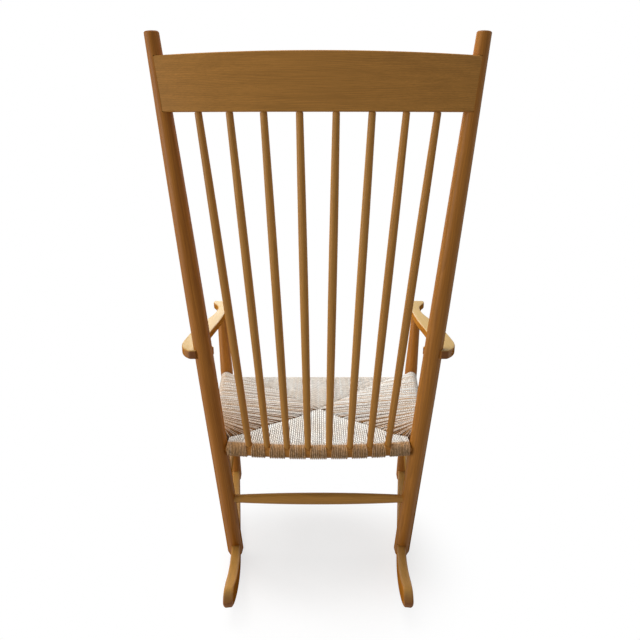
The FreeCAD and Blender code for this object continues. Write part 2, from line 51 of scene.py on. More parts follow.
# sRGB hex to a linear colour with alpha: above the toe, each channel c becomes
# ((c + 0.055) / 1.055) ^ 2.4
def linear(hexColour):
    channels = [int(hexColour[i:i + 2], 16) / 255 for i in (1, 3, 5)]
    curve = [c / 12.92 if c < 0.04045 else ((c + 0.055) / 1.055) ** 2.4 for c in channels]
    return (*curve, 1.0)


# Adds one node and gives back one of its outputs. Feeds stand in the order of its inputs, or
# under their names or numbers, and each is a value, a hex colour or another node's output.
# MapRange takes a value, the range that it has and the range that it gets. Mix takes a share as
# 0 and two colours as 6 and 7, and gives the mixed colour as 2.
def addNode(tree, kind, feeds=(), give=0, **settings):
    node = tree.nodes.new("ShaderNode" + kind)
    for name, value in settings.items():
        setattr(node, name, value)
    feeds = feeds if isinstance(feeds, dict) else dict(enumerate(feeds))
    for place, value in feeds.items():
        if isinstance(value, bpy.types.NodeSocket):
            tree.links.new(value, node.inputs[place])
        elif isinstance(value, str):
            node.inputs[place].default_value = linear(value)
        else:
            node.inputs[place].default_value = value
    return node.outputs[give] if node.outputs else None


def newMaterial(name):
    material = bpy.data.materials.new(name)
    material.use_nodes = True
    material.node_tree.nodes.clear()
    return material, material.node_tree


def pointsOf(mesh):
    points = np.empty(len(mesh.vertices) * 3, np.float32)
    mesh.vertices.foreach_get("co", points)
    return points.reshape(-1, 3).astype(float)


def addAttribute(mesh, name, kind, domain, values):
    field = {"FLOAT": "value", "FLOAT_VECTOR": "vector"}[kind]
    attribute = mesh.attributes.new(name, kind, domain)
    attribute.data.foreach_set(field, np.ascontiguousarray(values, np.float32).ravel())


def addObject(name, data):
    added = bpy.data.objects.new(name, data)
    bpy.context.collection.objects.link(added)
    return added


# Wood: oiled, fine-grained hardwood, turned, bent and sanded, with a soft sheen. Wander, streak,
# fibre and fleck are noises: width across the grain, times as long along it, and detail.
woodLook = {
    "pale": "#C67E2C", "mid": "#AE6A1A", "honey": "#CCA45C", "dark": "#7A4714",
    # The last colour here is the painted top light, a paler colour for the lit upward faces of arms
    # and runners
    "end": "#5C2F16", "paintedTopLight": "#B49C5C",
    "wander": (26.0 * mm, 9.0, 1.0), "streak": (7.0 * mm, 30.0, 3.0),
    "fibre": (0.9 * mm, 70.0, 3.0), "fleck": (0.35 * mm, 16.0, 1.0), "noiseRoughness": 0.55,
    "ringWidth": 2.6 * mm, "ringWander": 16.0 * mm, "ringPeak": 0.80, "ringDepth": 0.16,
    "streakRange": (0.32, 0.68), "fibreRange": (0.30, 0.70), "fibreDepth": 0.24,
    "fleckRange": (0.62, 0.74), "fleckDepth": 0.30, "toneSpread": 0.12, "toneHoney": 0.60,
    "endDepth": 0.72, "upwardRange": (0.35, 0.95), "paintedTopLightShare": 0.72,
    "slantBlend": 0.5, "slantRange": (0.45, 0.75), "shine": (0.24, 0.16),
    "roughness": (0.38, 0.52), "fibreRelief": 0.03 * mm, "reliefStrength": 0.5,
}


# Honey-coloured oiled hardwood. Fine rings run along each piece and give faint straight lines,
# broader streaks and short fibres break them up, and end grain soaks up more oil and is darker.
# The finish is a wiped oil, so the gloss is soft and dies away where a side is seen at a slant.
# The upward faces of the arms and runners get a paler colour, a painted highlight of the light on
# their tops, and keep their gloss.
def oiledWood(look):
    material, tree = newMaterial("oiled_hardwood")
    grain = addNode(tree, "Attribute", give="Vector", attribute_name="grain")
    endShare, tone, paintedTopLightPiece = [addNode(tree, "Attribute", give="Fac", attribute_name=name)
                                 for name in ("endShare", "tone", "paintedTopLight")]
    patterns = []
    for width, stretch, detail in (look["wander"], look["streak"], look["fibre"], look["fleck"]):
        scale = (1 / (width * stretch), 1 / width, 1 / width)
        place = addNode(tree, "VectorMath", (grain, scale), operation="MULTIPLY")
        patterns.append(addNode(tree, "TexNoise", {
            "Vector": place, "Scale": 1.0, "Detail": detail, "Roughness": look["noiseRoughness"]}))
    wander, streak, fibre, fleck = patterns

    # Each ring darkens slowly to its peak and ends sharply
    across = addNode(tree, "SeparateXYZ", (grain,), 1)
    ringPlace = addNode(tree, "Math", (wander, look["ringWander"], across),
                        operation="MULTIPLY_ADD")
    ringCount = addNode(tree, "Math", (ringPlace, look["ringWidth"]), operation="DIVIDE")
    ringShare = addNode(tree, "Math", (ringCount,), operation="FRACT")
    ring = addNode(tree, "ValToRGB", (ringShare,))
    stops = ring.node.color_ramp.elements
    stops[1].position = look["ringPeak"]
    stops.new(1.0).color = (0.0, 0.0, 0.0, 1.0)

    streakShare = addNode(tree, "MapRange", (streak, *look["streakRange"]))
    colour = addNode(tree, "Mix", {0: streakShare, 6: look["pale"], 7: look["mid"]}, 2,
                     data_type="RGBA")
    honeyShare = addNode(tree, "MapRange", (tone, 0.0, 1.0, 0.0, look["toneHoney"]))
    colour = addNode(tree, "Mix", {0: honeyShare, 6: colour, 7: look["honey"]}, 2,
                     data_type="RGBA")
    half, apart = look["fibreDepth"] / 2, look["toneSpread"]
    for feeds in ((ring, 0.0, 1.0, 1.0, 1.0 - look["ringDepth"]),
                  (fibre, *look["fibreRange"], 1.0 + half, 1.0 - half),
                  (tone, 0.0, 1.0, 1.0 - apart, 1.0 + apart)):
        light = addNode(tree, "MapRange", feeds)
        colour = addNode(tree, "VectorMath", {0: colour, "Scale": light}, operation="SCALE")

    # Flecks, end grain and, last, the painted top light: a paler colour on the upward faces of arms
    # and runners
    normal = addNode(tree, "NewGeometry", give="Normal")
    upward = addNode(tree, "SeparateXYZ", (normal,), 2)
    upward = addNode(tree, "MapRange", (upward, *look["upwardRange"]))
    paintedTopLightMask = addNode(tree, "Math", (upward, paintedTopLightPiece), operation="MULTIPLY")
    for feeds, over in (((fleck, *look["fleckRange"], 0.0, look["fleckDepth"]), "dark"),
                        ((endShare, 0.0, 1.0, 0.0, look["endDepth"]), "end"),
                        ((paintedTopLightMask, 0.0, 1.0, 0.0, look["paintedTopLightShare"]), "paintedTopLight")):
        share = addNode(tree, "MapRange", feeds)
        colour = addNode(tree, "Mix", {0: share, 6: colour, 7: look[over]}, 2, data_type="RGBA")

    slant = addNode(tree, "LayerWeight", {"Blend": look["slantBlend"]}, "Facing")
    facing = addNode(tree, "MapRange", (slant, *look["slantRange"], 1.0, 0.0))
    kept = addNode(tree, "Math", (facing, paintedTopLightMask), operation="MAXIMUM")
    shine = addNode(tree, "MapRange", (paintedTopLightMask, 0.0, 1.0, *look["shine"]))
    shine = addNode(tree, "Math", (shine, kept), operation="MULTIPLY")
    gloss = addNode(tree, "MapRange", (fibre, *look["fibreRange"], *look["roughness"]))
    relief = addNode(tree, "Bump", {"Height": fibre, "Strength": look["reliefStrength"],
                                    "Distance": look["fibreRelief"]})
    surface = addNode(tree, "BsdfPrincipled", {
        "Base Color": colour, "Roughness": gloss, "Normal": relief,
        "Specular IOR Level": look["shine"][0]})
    tree.links.new(shine, surface.node.inputs["Specular IOR Level"])
    addNode(tree, "OutputMaterial", (surface,))
    return material


# Directions of a piece, widest spread of its points first, all turned round where the first one
# wouldn't run back, up or to the left
def spreadAxes(points):
    turned = np.linalg.svd(points - points.mean(0), full_matrices=False)[2]
    backUpLeft = np.array((0.3, 0.5, 1.0))
    return -turned if turned[0] @ backUpLeft < 0 else turned


# Grain of a straight piece: distances from its middle along its three directions
def straightGrain(points):
    axes = spreadAxes(points)
    return (points - points.mean(0)) @ axes.T, np.broadcast_to(axes[0], points.shape)


# Grain of a bent piece: arc length along the circle that best fits its points, distance off that
# circle and distance off its plane. square picks which spread direction the plane is square to.
# The circle's centre solves 2 p.c + k = p.p for all points.
def bentGrain(points, square):
    axes = spreadAxes(points)
    axes = axes[[0, 3 - square, square]]
    flat = (points - points.mean(0)) @ axes.T
    known = np.column_stack((2 * flat[:, 0], 2 * flat[:, 1], np.ones(len(flat))))
    centreS, centreT, rest = np.linalg.lstsq(known, (flat[:, :2] ** 2).sum(1), rcond=None)[0]
    radius = math.sqrt(rest + centreS ** 2 + centreT ** 2)
    side = np.sign(-centreT) or 1.0
    angle = np.arctan2(flat[:, 0] - centreS, side * (flat[:, 1] - centreT))
    out = np.hypot(flat[:, 0] - centreS, flat[:, 1] - centreT) - radius
    along = np.cos(angle)[:, None] * axes[0] - side * np.sin(angle)[:, None] * axes[1]
    return np.column_stack((radius * angle, out, flat[:, 2])), along


# Runners end in a rounded nose. Over the last nose length, with e from 0 to 1, the top comes
# down by drop * (1 - sqrt(1 - e^2)). Over the last taper length, with f from 0 to 1, the half
# width is times sqrt(1 - (slim + rims * r^4) * f^2), where r goes from 0 at mid height to 1 at
# top and bottom. Cuts, in mm from the end, and levels give the shape the edges that it needs.
runnerEnds = {
    "nose": 22 * mm, "taper": 56 * mm, "drop": 0.50, "slim": 0.24, "rims": 0.70,
    "cuts": (55, 44, 34, 26, 20, 14, 9, 5, 2.5, 1),
    "levels": (-0.85, -0.6, -0.3, 0.0, 0.3, 0.6, 0.85), "capSlope": 0.7, "join": 0.001 * mm,
}


# Way points out of the runner's end, square to its cap, and rise across it upwards. The cuts are
# made in bm, and then all points are moved at once in its mesh.
def easeRunnerEnd(bm, mesh, look, side):
    caps = [face for face in bm.faces if face.normal.y * side > look["capSlope"]]
    way = np.array(max(caps, key=lambda face: face.calc_area()).normal)
    breadthWay = np.cross(way, (0.0, 0.0, 1.0))
    breadthWay /= np.linalg.norm(breadthWay)
    rise = np.cross(breadthWay, way)
    bm.to_mesh(mesh)
    points = pointsOf(mesh)
    middle = points.mean(0)
    far = ((points - middle) @ way).max()
    start = far - look["taper"]
    for cut in look["cuts"]:
        bmesh.ops.bisect_plane(bm, geom=bm.verts[:] + bm.edges[:] + bm.faces[:],
                               dist=look["join"], plane_no=way,
                               plane_co=middle + way * (far - cut * mm))
    bm.to_mesh(mesh)
    tail = pointsOf(mesh) - middle
    tail = tail[tail @ way > far - look["nose"]]
    low, high = (tail @ rise).min(), (tail @ rise).max()
    for level in look["levels"]:
        faces = [face for face in bm.faces
                 if (np.array(face.calc_center_median()) - middle) @ way > start]
        edges = list({edge for face in faces for edge in face.edges})
        verts = list({vertex for face in faces for vertex in face.verts})
        place = (low + high) / 2 + level * (high - low) / 2
        bmesh.ops.bisect_plane(bm, geom=verts + edges + faces, dist=look["join"],
                               plane_no=rise, plane_co=middle + rise * place)
    bm.to_mesh(mesh)
    points = pointsOf(mesh)
    reach, height, breadth = np.array((way, rise, breadthWay)) @ (points - middle).T
    last = reach > start
    middleBreadth = (breadth[last].min() + breadth[last].max()) / 2
    taper = np.clip((reach - start) / look["taper"], 0, 1)
    nose = np.clip((reach - far + look["nose"]) / look["nose"], 0, 1)
    rim = np.clip(np.abs(2 * (height - low) / (high - low) - 1), 0, 1)
    slimmer = (look["slim"] + look["rims"] * rim ** 4) * taper ** 2
    narrow = (breadth - middleBreadth) * (np.sqrt(np.clip(1 - slimmer, 0, 1)) - 1)
    sink = -(height - low) * look["drop"] * (1 - np.sqrt(1 - nose ** 2))
    points += (narrow[:, None] * breadthWay + sink[:, None] * rise) * last[:, None]
    mesh.vertices.foreach_set("co", points.astype(np.float32).ravel())
    bm.clear()
    bm.from_mesh(mesh)


# Which pieces are bent, with the spread direction that the bend's plane is square to; the turn of
# the rings in degrees, where it isn't left to chance; how honey-coloured each kind is and how much
# painted top light its upward faces get; and the slopes between which a face shows end grain
woodPieces = {
    "bent": {"crest_rail": 1, "seat_rail_rear": 2, "runner_left": 2, "runner_right": 2},
    "ringTurn": {"crest_rail": 76.0, "arm_left": 12.0, "arm_right": -12.0,
                 "runner_left": 25.0, "runner_right": 25.0},
    # The crest's and the stretchers' high tones are partly painted light, brightening pieces that
    # the lamps leave dim
    "tones": {"crest": 0.64, "spindle": 0.60, "arm": 0.22, "rear": 0.08, "front": 0.0,
              "runner": 0.0, "seat": 0.3, "stretcher": 0.75},
    "toneApart": 0.10, "paintedTopLight": {"arm": 1.0, "runner": 0.5}, "crease": 32.0,
    "endFrom": 0.40, "endTo": 0.92, "seed": 11, "apart": 4.0, "join": 0.002 * mm,
}


# Each wood node is copied and its loose triangles are joined. The grain, turned about its length
# so that the rings lie as they were sawn, the share of end grain, a tone and the share of painted
# top light go on as attributes. The share of end grain rises as a face turns square to the fibres.
def dressWood(node, material, number):
    look = woodPieces
    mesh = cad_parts[node].data.copy()
    piece = addObject(node + "_wood", mesh)
    bm = bmesh.new()
    bm.from_mesh(mesh)
    bmesh.ops.remove_doubles(bm, verts=bm.verts, dist=look["join"])
    if node.startswith("runner"):
        for side in (-1, 1):
            easeRunnerEnd(bm, mesh, runnerEnds, side)
        bmesh.ops.triangulate(bm, faces=bm.faces[:])
    bm.to_mesh(mesh)
    bm.free()
    if "custom_normal" in mesh.attributes:
        mesh.attributes.remove(mesh.attributes["custom_normal"])
    mesh.shade_smooth()
    mesh.set_sharp_from_angle(angle=math.radians(look["crease"]))
    points = pointsOf(mesh)
    if node in look["bent"]:
        grain, along = bentGrain(points, look["bent"][node])
    else:
        grain, along = straightGrain(points)
    chance = np.random.default_rng(look["seed"] + number)
    turn = math.radians(look["ringTurn"].get(node, chance.uniform(0, 360)))
    sawn = np.array(((math.cos(turn), -math.sin(turn)), (math.sin(turn), math.cos(turn))))
    grain = np.column_stack((grain[:, 0], grain[:, 1:] @ sawn))
    grain = grain + chance.uniform(0, look["apart"], 3)
    kind = "stretcher" if "stretcher" in node else node.split("_")[0]
    tone = max(look["tones"][kind] + chance.uniform(-1, 1) * look["toneApart"], 0)
    # How much painted top light, a painted highlight, the upward faces of this kind get
    paintedTopLight = look["paintedTopLight"].get(kind, 0.0)
    normals = np.empty(len(mesh.loops) * 3, np.float32)
    mesh.corner_normals.foreach_get("vector", normals)
    corners = np.empty(len(mesh.loops), np.int32)
    mesh.loops.foreach_get("vertex_index", corners)
    square = np.abs((normals.reshape(-1, 3) * along[corners]).sum(1))
    endShare = np.clip((square - look["endFrom"]) / (look["endTo"] - look["endFrom"]), 0, 1)
    addAttribute(mesh, "grain", "FLOAT_VECTOR", "POINT", grain)
    addAttribute(mesh, "tone", "FLOAT", "POINT", np.full(len(points), tone))
    addAttribute(mesh, "paintedTopLight", "FLOAT", "POINT", np.full(len(points), paintedTopLight))
    addAttribute(mesh, "endShare", "FLOAT", "CORNER", endShare)
    mesh.materials.clear()
    mesh.materials.append(material)
    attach(piece, "root")
    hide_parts(node)


wood = oiledWood(woodLook)
woodNodes = sorted(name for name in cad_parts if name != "seat_weave")
for number, node in enumerate(woodNodes):
    dressWood(node, wood, number)
print("wood pieces:", len(woodNodes))


# Seat: the rails give its own frame. u runs across, v back along the slope from the front rail's
# axis, and w up, square to both. Hollow holds the half width and half depth of its low middle,
# and apart how unevenly wide the cords are.
seatCord = {
    "radius": 1.7 * mm, "sides": 6, "seed": 5, "legGap": 19.5 * mm, "postGap": 20.0 * mm,
    "sag": 2.0 * mm, "hollow": (260 * mm, 240 * mm), "centreThick": 9.0 * mm,
    "overSeam": 1.5 * mm, "dive": 4.0 * mm, "lowDive": 0.7, "apart": 0.05,
}
pitch = 2 * seatCord["radius"]


# Middle of the box round the points at one end of a node
def endMiddle(node, axis, side, reach=4 * mm):
    points = pointsOf(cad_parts[node].data)
    far = points[:, axis].max() if side > 0 else points[:, axis].min()
    near = points[np.abs(points[:, axis] - far) < reach]
    return (near.min(0) + near.max(0)) / 2


frontEnd = endMiddle("seat_rail_front", 0, 1)
rearEnd = endMiddle("seat_rail_rear", 0, 1)
seatOrigin = np.array((0.0, frontEnd[1], frontEnd[2]))
backWay = np.array((0.0, rearEnd[1] - frontEnd[1], rearEnd[2] - frontEnd[2]))
seatDepth = np.linalg.norm(backWay)
backWay = backWay / seatDepth
seatAxes = np.array(((1.0, 0.0, 0.0), backWay, np.cross((1.0, 0.0, 0.0), backWay)))
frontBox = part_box("seat_rail_front")
railRadius = (frontBox[1].z - frontBox[0].z) / 2
windRadius = railRadius + seatCord["radius"]
railBow = (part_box("seat_rail_rear")[1].y - railRadius - rearEnd[1]) / backWay[1]
sideFront, sideBack = [(endMiddle("seat_rail_left", 1, side) - seatOrigin) @ seatAxes.T
                       for side in (-1, 1)]


def fromSeat(points):
    return seatOrigin + points @ seatAxes


# Axis of the side rail at a depth v, as way across and height: a straight line between its ends
def sideRailAt(v):
    share = (v - sideFront[1]) / (sideBack[1] - sideFront[1])
    across = sideFront[0] + share * (sideBack[0] - sideFront[0])
    return across, sideFront[2] + share * (sideBack[2] - sideFront[2])


# Depth of the rear rail's axis: railBow, how far its middle stands back, falls off with the
# square of the way across
def rearRailAt(u):
    return seatDepth + railBow * (1 - (u / rearEnd[0]) ** 2)


# Seams run from the corners to the middle, a little hollow, as the tighter cords pull them in.
# Each is a table of ways across and the depths that go with them, with straight lines between.
seamShape = {
    "frontAcross": np.array((0.0, 43.0, 108.0, 205.0, 232.0, 262.0)) * mm,
    "frontDepth": np.array((233.0, 191.0, 118.0, 26.0, 20.0, 16.5)) * mm,
    "rearAcross": np.array((0.0, 13.0, 53.0, 77.0, 121.0, 168.0, 208.0, 213.0)) * mm,
    "rearDepth": np.array((241.0, 250.0, 295.0, 311.0, 342.0, 388.0, 410.0, 413.0)) * mm,
}


def frontSeamDepth(u):
    return np.interp(np.abs(u), seamShape["frontAcross"], seamShape["frontDepth"])


def rearSeamDepth(u):
    return np.interp(np.abs(u), seamShape["rearAcross"], seamShape["rearDepth"])


# Way across of a seam at a depth, for the side cords: from the front corner in to the middle
# and out again
def seamAcross(v):
    depths = np.concatenate((seamShape["frontDepth"][::-1], seamShape["rearDepth"]))
    across = np.concatenate((seamShape["frontAcross"][::-1], seamShape["rearAcross"]))
    return np.interp(v, depths, across)


# How near a place is to the seat's middle: 1 there, and 0 on an ellipse through the rails
def nearMiddle(u, v):
    halfWide, halfDeep = seatCord["hollow"]
    return np.clip(1 - np.hypot(u / halfWide, (v - halfDeep) / halfDeep), 0, 1)


# Height of the lower layer: it hangs under the rails and rises to meet the upper one in the middle
def lowerHeight(u, v):
    return -windRadius + nearMiddle(u, v) * (2 * windRadius - seatCord["centreThick"])


# Height of the upper layer at the seams: level with the rails' tops, sagging a little in the middle
def upperHeight(u, v):
    return windRadius - seatCord["sag"] * nearMiddle(u, v)


# Paper cord. Plies and lay make the twist, which is drawn coarser than a real cord's so that it
# shows from a step away. Each range is the span of a value over which its effect comes in.
cordLook = {
    "pale": "#FBFDFA", "warm": "#F5EEE2", "brown": "#D0A068", "dark": "#52382A",
    "gap": "#54402C", "plies": 2.0, "lay": 19.0 * mm, "plyRange": (-0.1, -0.8),
    "plyDepth": 0.52, "tintedRange": (0.1, 0.8), "tintedPlyDepth": 0.15,
    "sideRange": (0.55, 0.95), "sideDepth": 0.36, "cloudSize": 71.4 * mm, "toneShare": 0.30,
    "warmRange": (0.45, 0.95), "fleckSize": 6.0 * mm, "fleckRange": (0.35, 0.75),
    "fleckLight": (1.06, 0.70), "detail": 2.0, "plyRelief": 0.5 * mm, "reliefStrength": 0.6,
    "roughness": 0.82, "ior": 1.45,
}


# Paper cord, twisted and wound tight: pale and matt, with the plies' slanting shadows painted every
# few millimetres, a painted shade line beside each strand, fibres of uneven colour, and browner
# paper where a strand's tint rises, most over the rails. A tint from 0 to 1 browns the cord, and
# from 1 to 2 sinks it into painted shadow.
def paperCord(look):
    material, tree = newMaterial("paper_cord")
    uv = addNode(tree, "UVMap", uv_map="cordUV")
    around, along = [addNode(tree, "SeparateXYZ", (uv,), place) for place in (0, 1)]
    tint, tone = [addNode(tree, "Attribute", give="Fac", attribute_name=name)
                  for name in ("tint", "tone")]
    spot = addNode(tree, "TexCoord", give="Object")
    fleck, cloud = [addNode(tree, "TexNoise", {"Vector": spot, "Scale": scale,
                                               "Detail": look["detail"]})
                    for scale in (1 / look["fleckSize"], 1 / look["cloudSize"])]

    warmth = addNode(tree, "Math", (tone, look["toneShare"], cloud), operation="MULTIPLY_ADD")
    warmShare = addNode(tree, "MapRange", (warmth, *look["warmRange"]))
    sunk = addNode(tree, "MapRange", (tint, 1.0, 2.0))
    colour = linear(look["pale"])
    for share, over in ((warmShare, "warm"), (tint, "brown"), (sunk, "dark")):
        colour = addNode(tree, "Mix", {0: share, 6: colour, 7: look[over]}, 2, data_type="RGBA")
    light = addNode(tree, "MapRange", (fleck, *look["fleckRange"], *look["fleckLight"]))
    colour = addNode(tree, "VectorMath", {0: colour, "Scale": light}, operation="SCALE")

    # Shade in the valleys between the plies, and along both sides of the strand
    plyTurns = 2 * math.pi * look["plies"]
    turned = addNode(tree, "Math", (around, plyTurns), operation="MULTIPLY")
    phase = addNode(tree, "Math", (along, plyTurns / look["lay"], turned),
                    operation="MULTIPLY_ADD")
    wave = addNode(tree, "Math", (phase,), operation="SINE")
    valley = addNode(tree, "MapRange", (wave, *look["plyRange"]))
    depth = addNode(tree, "MapRange", (tint, *look["tintedRange"], look["plyDepth"],
                                       look["tintedPlyDepth"]))
    plyShade = addNode(tree, "Math", (valley, depth), operation="MULTIPLY")
    beside = addNode(tree, "Math", (around, 2 * math.pi), operation="MULTIPLY")
    for operation in ("COSINE", "ABSOLUTE"):
        beside = addNode(tree, "Math", (beside,), operation=operation)
    sideShade = addNode(tree, "MapRange", (beside, *look["sideRange"], 0.0, look["sideDepth"]))
    groove = addNode(tree, "Math", (plyShade, sideShade), operation="MAXIMUM")
    colour = addNode(tree, "Mix", {0: groove, 6: colour, 7: look["gap"]}, 2, data_type="RGBA")
    relief = addNode(tree, "Bump", {"Height": wave, "Strength": look["reliefStrength"],
                                    "Distance": look["plyRelief"]})
    surface = addNode(tree, "BsdfPrincipled", {
        "Base Color": colour, "Roughness": look["roughness"], "Normal": relief,
        "IOR": look["ior"]})
    addNode(tree, "OutputMaterial", (surface,))
    return material


cordMaterial = paperCord(cordLook)
rng = np.random.default_rng(seatCord["seed"])


# Strands as closed tubes. centre holds every strand's rings in the seat's frame. Each ring is an
# ellipse, centre + across * wide * cos(a) + up * radius * sin(a), with up square to the strand's
# way. Its UV is the share round the strand, and the length along it times twist.
def strandMesh(name, centre, across, wide, tint, twist):
    sides = seatCord["sides"]
    strands, rings = centre.shape[:2]
    way = np.gradient(centre, axis=1)
    way /= np.linalg.norm(way, axis=2, keepdims=True)
    across = across - (across * way).sum(2, keepdims=True) * way
    across /= np.linalg.norm(across, axis=2, keepdims=True)
    up = np.cross(way, across)
    angle = np.arange(sides) / sides * 2 * math.pi
    turn = (wide[..., None, None] * np.cos(angle)[:, None] * across[:, :, None]
            + seatCord["radius"] * np.sin(angle)[:, None] * up[:, :, None])
    points = fromSeat((centre[:, :, None] + turn).reshape(-1, 3))
    index = np.arange(len(points)).reshape(strands, rings, sides)
    ahead = np.roll(index, -1, axis=2)
    quads = np.stack((index[:, :-1], ahead[:, :-1], ahead[:, 1:], index[:, 1:]), axis=-1)
    caps = np.concatenate((index[:, 0, ::-1], index[:, -1]))
    mesh = bpy.data.meshes.new(name)
    mesh.from_pydata(points.tolist(), [], quads.reshape(-1, 4).tolist() + caps.tolist())

    step = np.linalg.norm(np.diff(centre, axis=1), axis=2)
    length = np.concatenate((np.zeros((strands, 1)), np.cumsum(step, axis=1)), axis=1) * twist
    length = length + np.random.default_rng(seatCord["seed"]).uniform(0, 1, (strands, 1))
    start = np.arange(sides) / sides
    stop = start + 1 / sides
    quadAround = np.stack((start, stop, stop, start), axis=-1)
    quadAlong = np.stack((length[:, :-1], length[:, :-1], length[:, 1:], length[:, 1:]), axis=-1)
    uvOfQuads = np.stack((np.broadcast_to(quadAround, quads.shape),
                          np.broadcast_to(quadAlong[:, :, None], quads.shape)), axis=-1)
    uv = np.concatenate((uvOfQuads.reshape(-1, 2), np.zeros((caps.size, 2))))
    layer = mesh.uv_layers.new(name="cordUV")
    layer.data.foreach_set("uv", uv.astype(np.float32).ravel())
    tone = np.random.default_rng(seatCord["seed"] + 1).uniform(0, 1, strands)
    addAttribute(mesh, "tone", "FLOAT", "POINT", np.repeat(tone, rings * sides))
    addAttribute(mesh, "tint", "FLOAT", "POINT", np.repeat(tint.reshape(-1), sides))
    mesh.shade_smooth()
    mesh.materials.append(cordMaterial)
    piece = addObject(name, mesh)
    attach(piece, "root")
    print(name, strands, "strands", len(mesh.polygons), "faces")


# Front and rear panels. Opened is how far a cord has moved from its place on the seam to its
# place on the rail at each ring of the top, and pulledIn over how many degrees of the rail it
# moves on to its place behind. Lift and reach are the unevenness of height and of length.
crossCords = {
    "lift": 0.25 * mm, "reach": 0.7 * mm, "spreadOver": 15 * mm, "spreadShare": 0.45,
    "shoulder": 4.0 * mm, "shoulderShare": 0.2, "partWay": 0.3, "lastPart": 0.4,
    "opened": (0.0, 0.0, 0.02, 0.12, 0.75), "windRings": 7, "pulledIn": 70,
    "tintFrom": 0.3, "tintPower": 3, "tintApart": 0.04, "widthShare": 0.98,
}


# Rings of strands that go over a rail lying across: from the seam, back over the rail's top, half
# way round it and along the underside to the seam again. side is -1 for the front rail, 1 for
# the rear.
def crossStrands(uRail, uBehind, uSeam, seamDepth, railDepth, side):
    look = crossCords
    count = len(uRail)
    lift = rng.normal(0, look["lift"], (count, 1))
    reach = seamDepth + rng.normal(0, look["reach"], count)
    run = (railDepth - reach) * side
    near = np.minimum(look["spreadOver"], run * look["spreadShare"])
    shoulder = np.minimum(look["shoulder"], run * look["shoulderShare"])
    vTop = np.stack((reach - side * seatCord["overSeam"], reach + side * shoulder,
                     reach + side * (shoulder + run * look["partWay"]), railDepth - side * near,
                     railDepth - side * near * look["lastPart"]), axis=1)
    vLow = vTop[:, ::-1][:, 1:]
    wind = np.radians(np.linspace(90, -90, look["windRings"]))
    v = np.concatenate((vTop, railDepth[:, None] + side * windRadius * np.cos(wind), vLow), axis=1)
    opened = np.array(look["opened"])
    share = np.concatenate((opened, np.ones(len(wind)), opened[::-1][1:]))
    behind = np.concatenate((np.zeros(len(opened)),
                             np.clip((90 - np.degrees(wind)) / look["pulledIn"], 0, 1),
                             np.linspace(1, 0, len(opened))[1:]))
    overRail = uRail[:, None] * (1 - behind) + uBehind[:, None] * behind
    u = uSeam[:, None] * (1 - share) + overRail * share
    top = upperHeight(uSeam[:, None], vTop)
    top[:, 0] -= seatCord["dive"]
    low = lowerHeight(uSeam[:, None], vLow)
    low[:, -1] += seatCord["dive"] * seatCord["lowDive"]
    over = np.broadcast_to(windRadius * np.sin(wind), (count, len(wind)))
    return np.stack((u, v, np.concatenate((top + lift, over, low), axis=1)), axis=2), share


# Each strand is as wide as its pitch: widths holds the pitch at the seam and the one on the rail
def windCross(name, places, seamDepth, railDepth, side, widths, panel):
    look = crossCords
    centre, share = crossStrands(*places, seamDepth, railDepth, side)
    uneven = rng.normal(1.0, seatCord["apart"], (len(centre), 1))
    wide = (widths[0][:, None] * (1 - share) + widths[1][:, None] * share) / 2 * uneven
    browner = np.clip((share - look["tintFrom"]) / (1 - look["tintFrom"]), 0, 1)
    tint = panel["seamTint"] * (1 - browner ** look["tintPower"])
    tint = tint + panel["railTint"] * browner ** look["tintPower"]
    tint = tint + rng.normal(0, look["tintApart"], (len(centre), 1))
    across = np.broadcast_to((1.0, 0.0, 0.0), centre.shape)
    strandMesh(name, centre, across, wide * look["widthShare"], np.clip(tint, 0, 1),
               panel["twist"])


# Front panel: cords side by side along the whole front rail, between the legs
frontPanel = {"seamTint": 0.17, "railTint": 0.22, "twist": 0.7}
frontHalf = sideRailAt(0.0)[0] - seatCord["legGap"]
frontCount = int(2 * frontHalf / pitch)
frontU = np.linspace(-frontHalf, frontHalf, frontCount)
frontPitch = np.full(frontCount, frontU[1] - frontU[0])
windCross("seat_cords_front", (frontU, frontU, frontU), frontSeamDepth(frontU),
          np.zeros(frontCount), -1, (frontPitch, frontPitch), frontPanel)


# Rear panel: a group has groupCords cords for each groupWidth of rail between two spindles. The
# slot left for a spindle is slotHalf to each side of it on the rail, and slotBehind behind it.
# postShare is how much of the gap by the post stays clear.
rearPanel = {
    "seamTint": 0.0, "railTint": 0.92, "twist": 0.8, "spindles": 8, "footHeight": 3 * mm,
    "groupCords": 9, "groupWidth": 30 * mm, "slotHalf": 7.6 * mm, "slotBehind": 4.6 * mm,
    "postShare": 0.72, "squeeze": 0.94,
}


# Way across of each rear cord on the rail, behind it and at the seam, and the pitches on the rail
# and at the seam. The cords pass between the spindles in groups and close up in front of them.
def rearPlaces(look):
    footU = []
    for i in range(1, look["spindles"] + 1):
        points = pointsOf(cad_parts[f"spindle_{i}"].data)
        foot = points[points[:, 2] < points[:, 2].min() + look["footHeight"]]
        footU.append((foot[:, 0].min() + foot[:, 0].max()) / 2)
    half = rearEnd[0] - seatCord["postGap"] * look["postShare"]
    walls = (-half, *sorted(footU), half)
    closer = look["slotBehind"] / look["slotHalf"]
    groups = []
    for low, high in zip(walls[:-1], walls[1:]):
        lowGap = 0.0 if low == walls[0] else look["slotHalf"]
        highGap = 0.0 if high == walls[-1] else look["slotHalf"]
        wide = high - low - lowGap - highGap
        wideBehind = high - low - (lowGap + highGap) * closer
        count = round(look["groupCords"] * wide / look["groupWidth"])
        place = (np.arange(count) + 0.5) / count
        groups.append((low + lowGap + place * wide, low + lowGap * closer + place * wideBehind,
                       low + place * (high - low), np.full(count, wide / count),
                       np.full(count, (high - low) / count)))
    return np.concatenate(groups, axis=1)


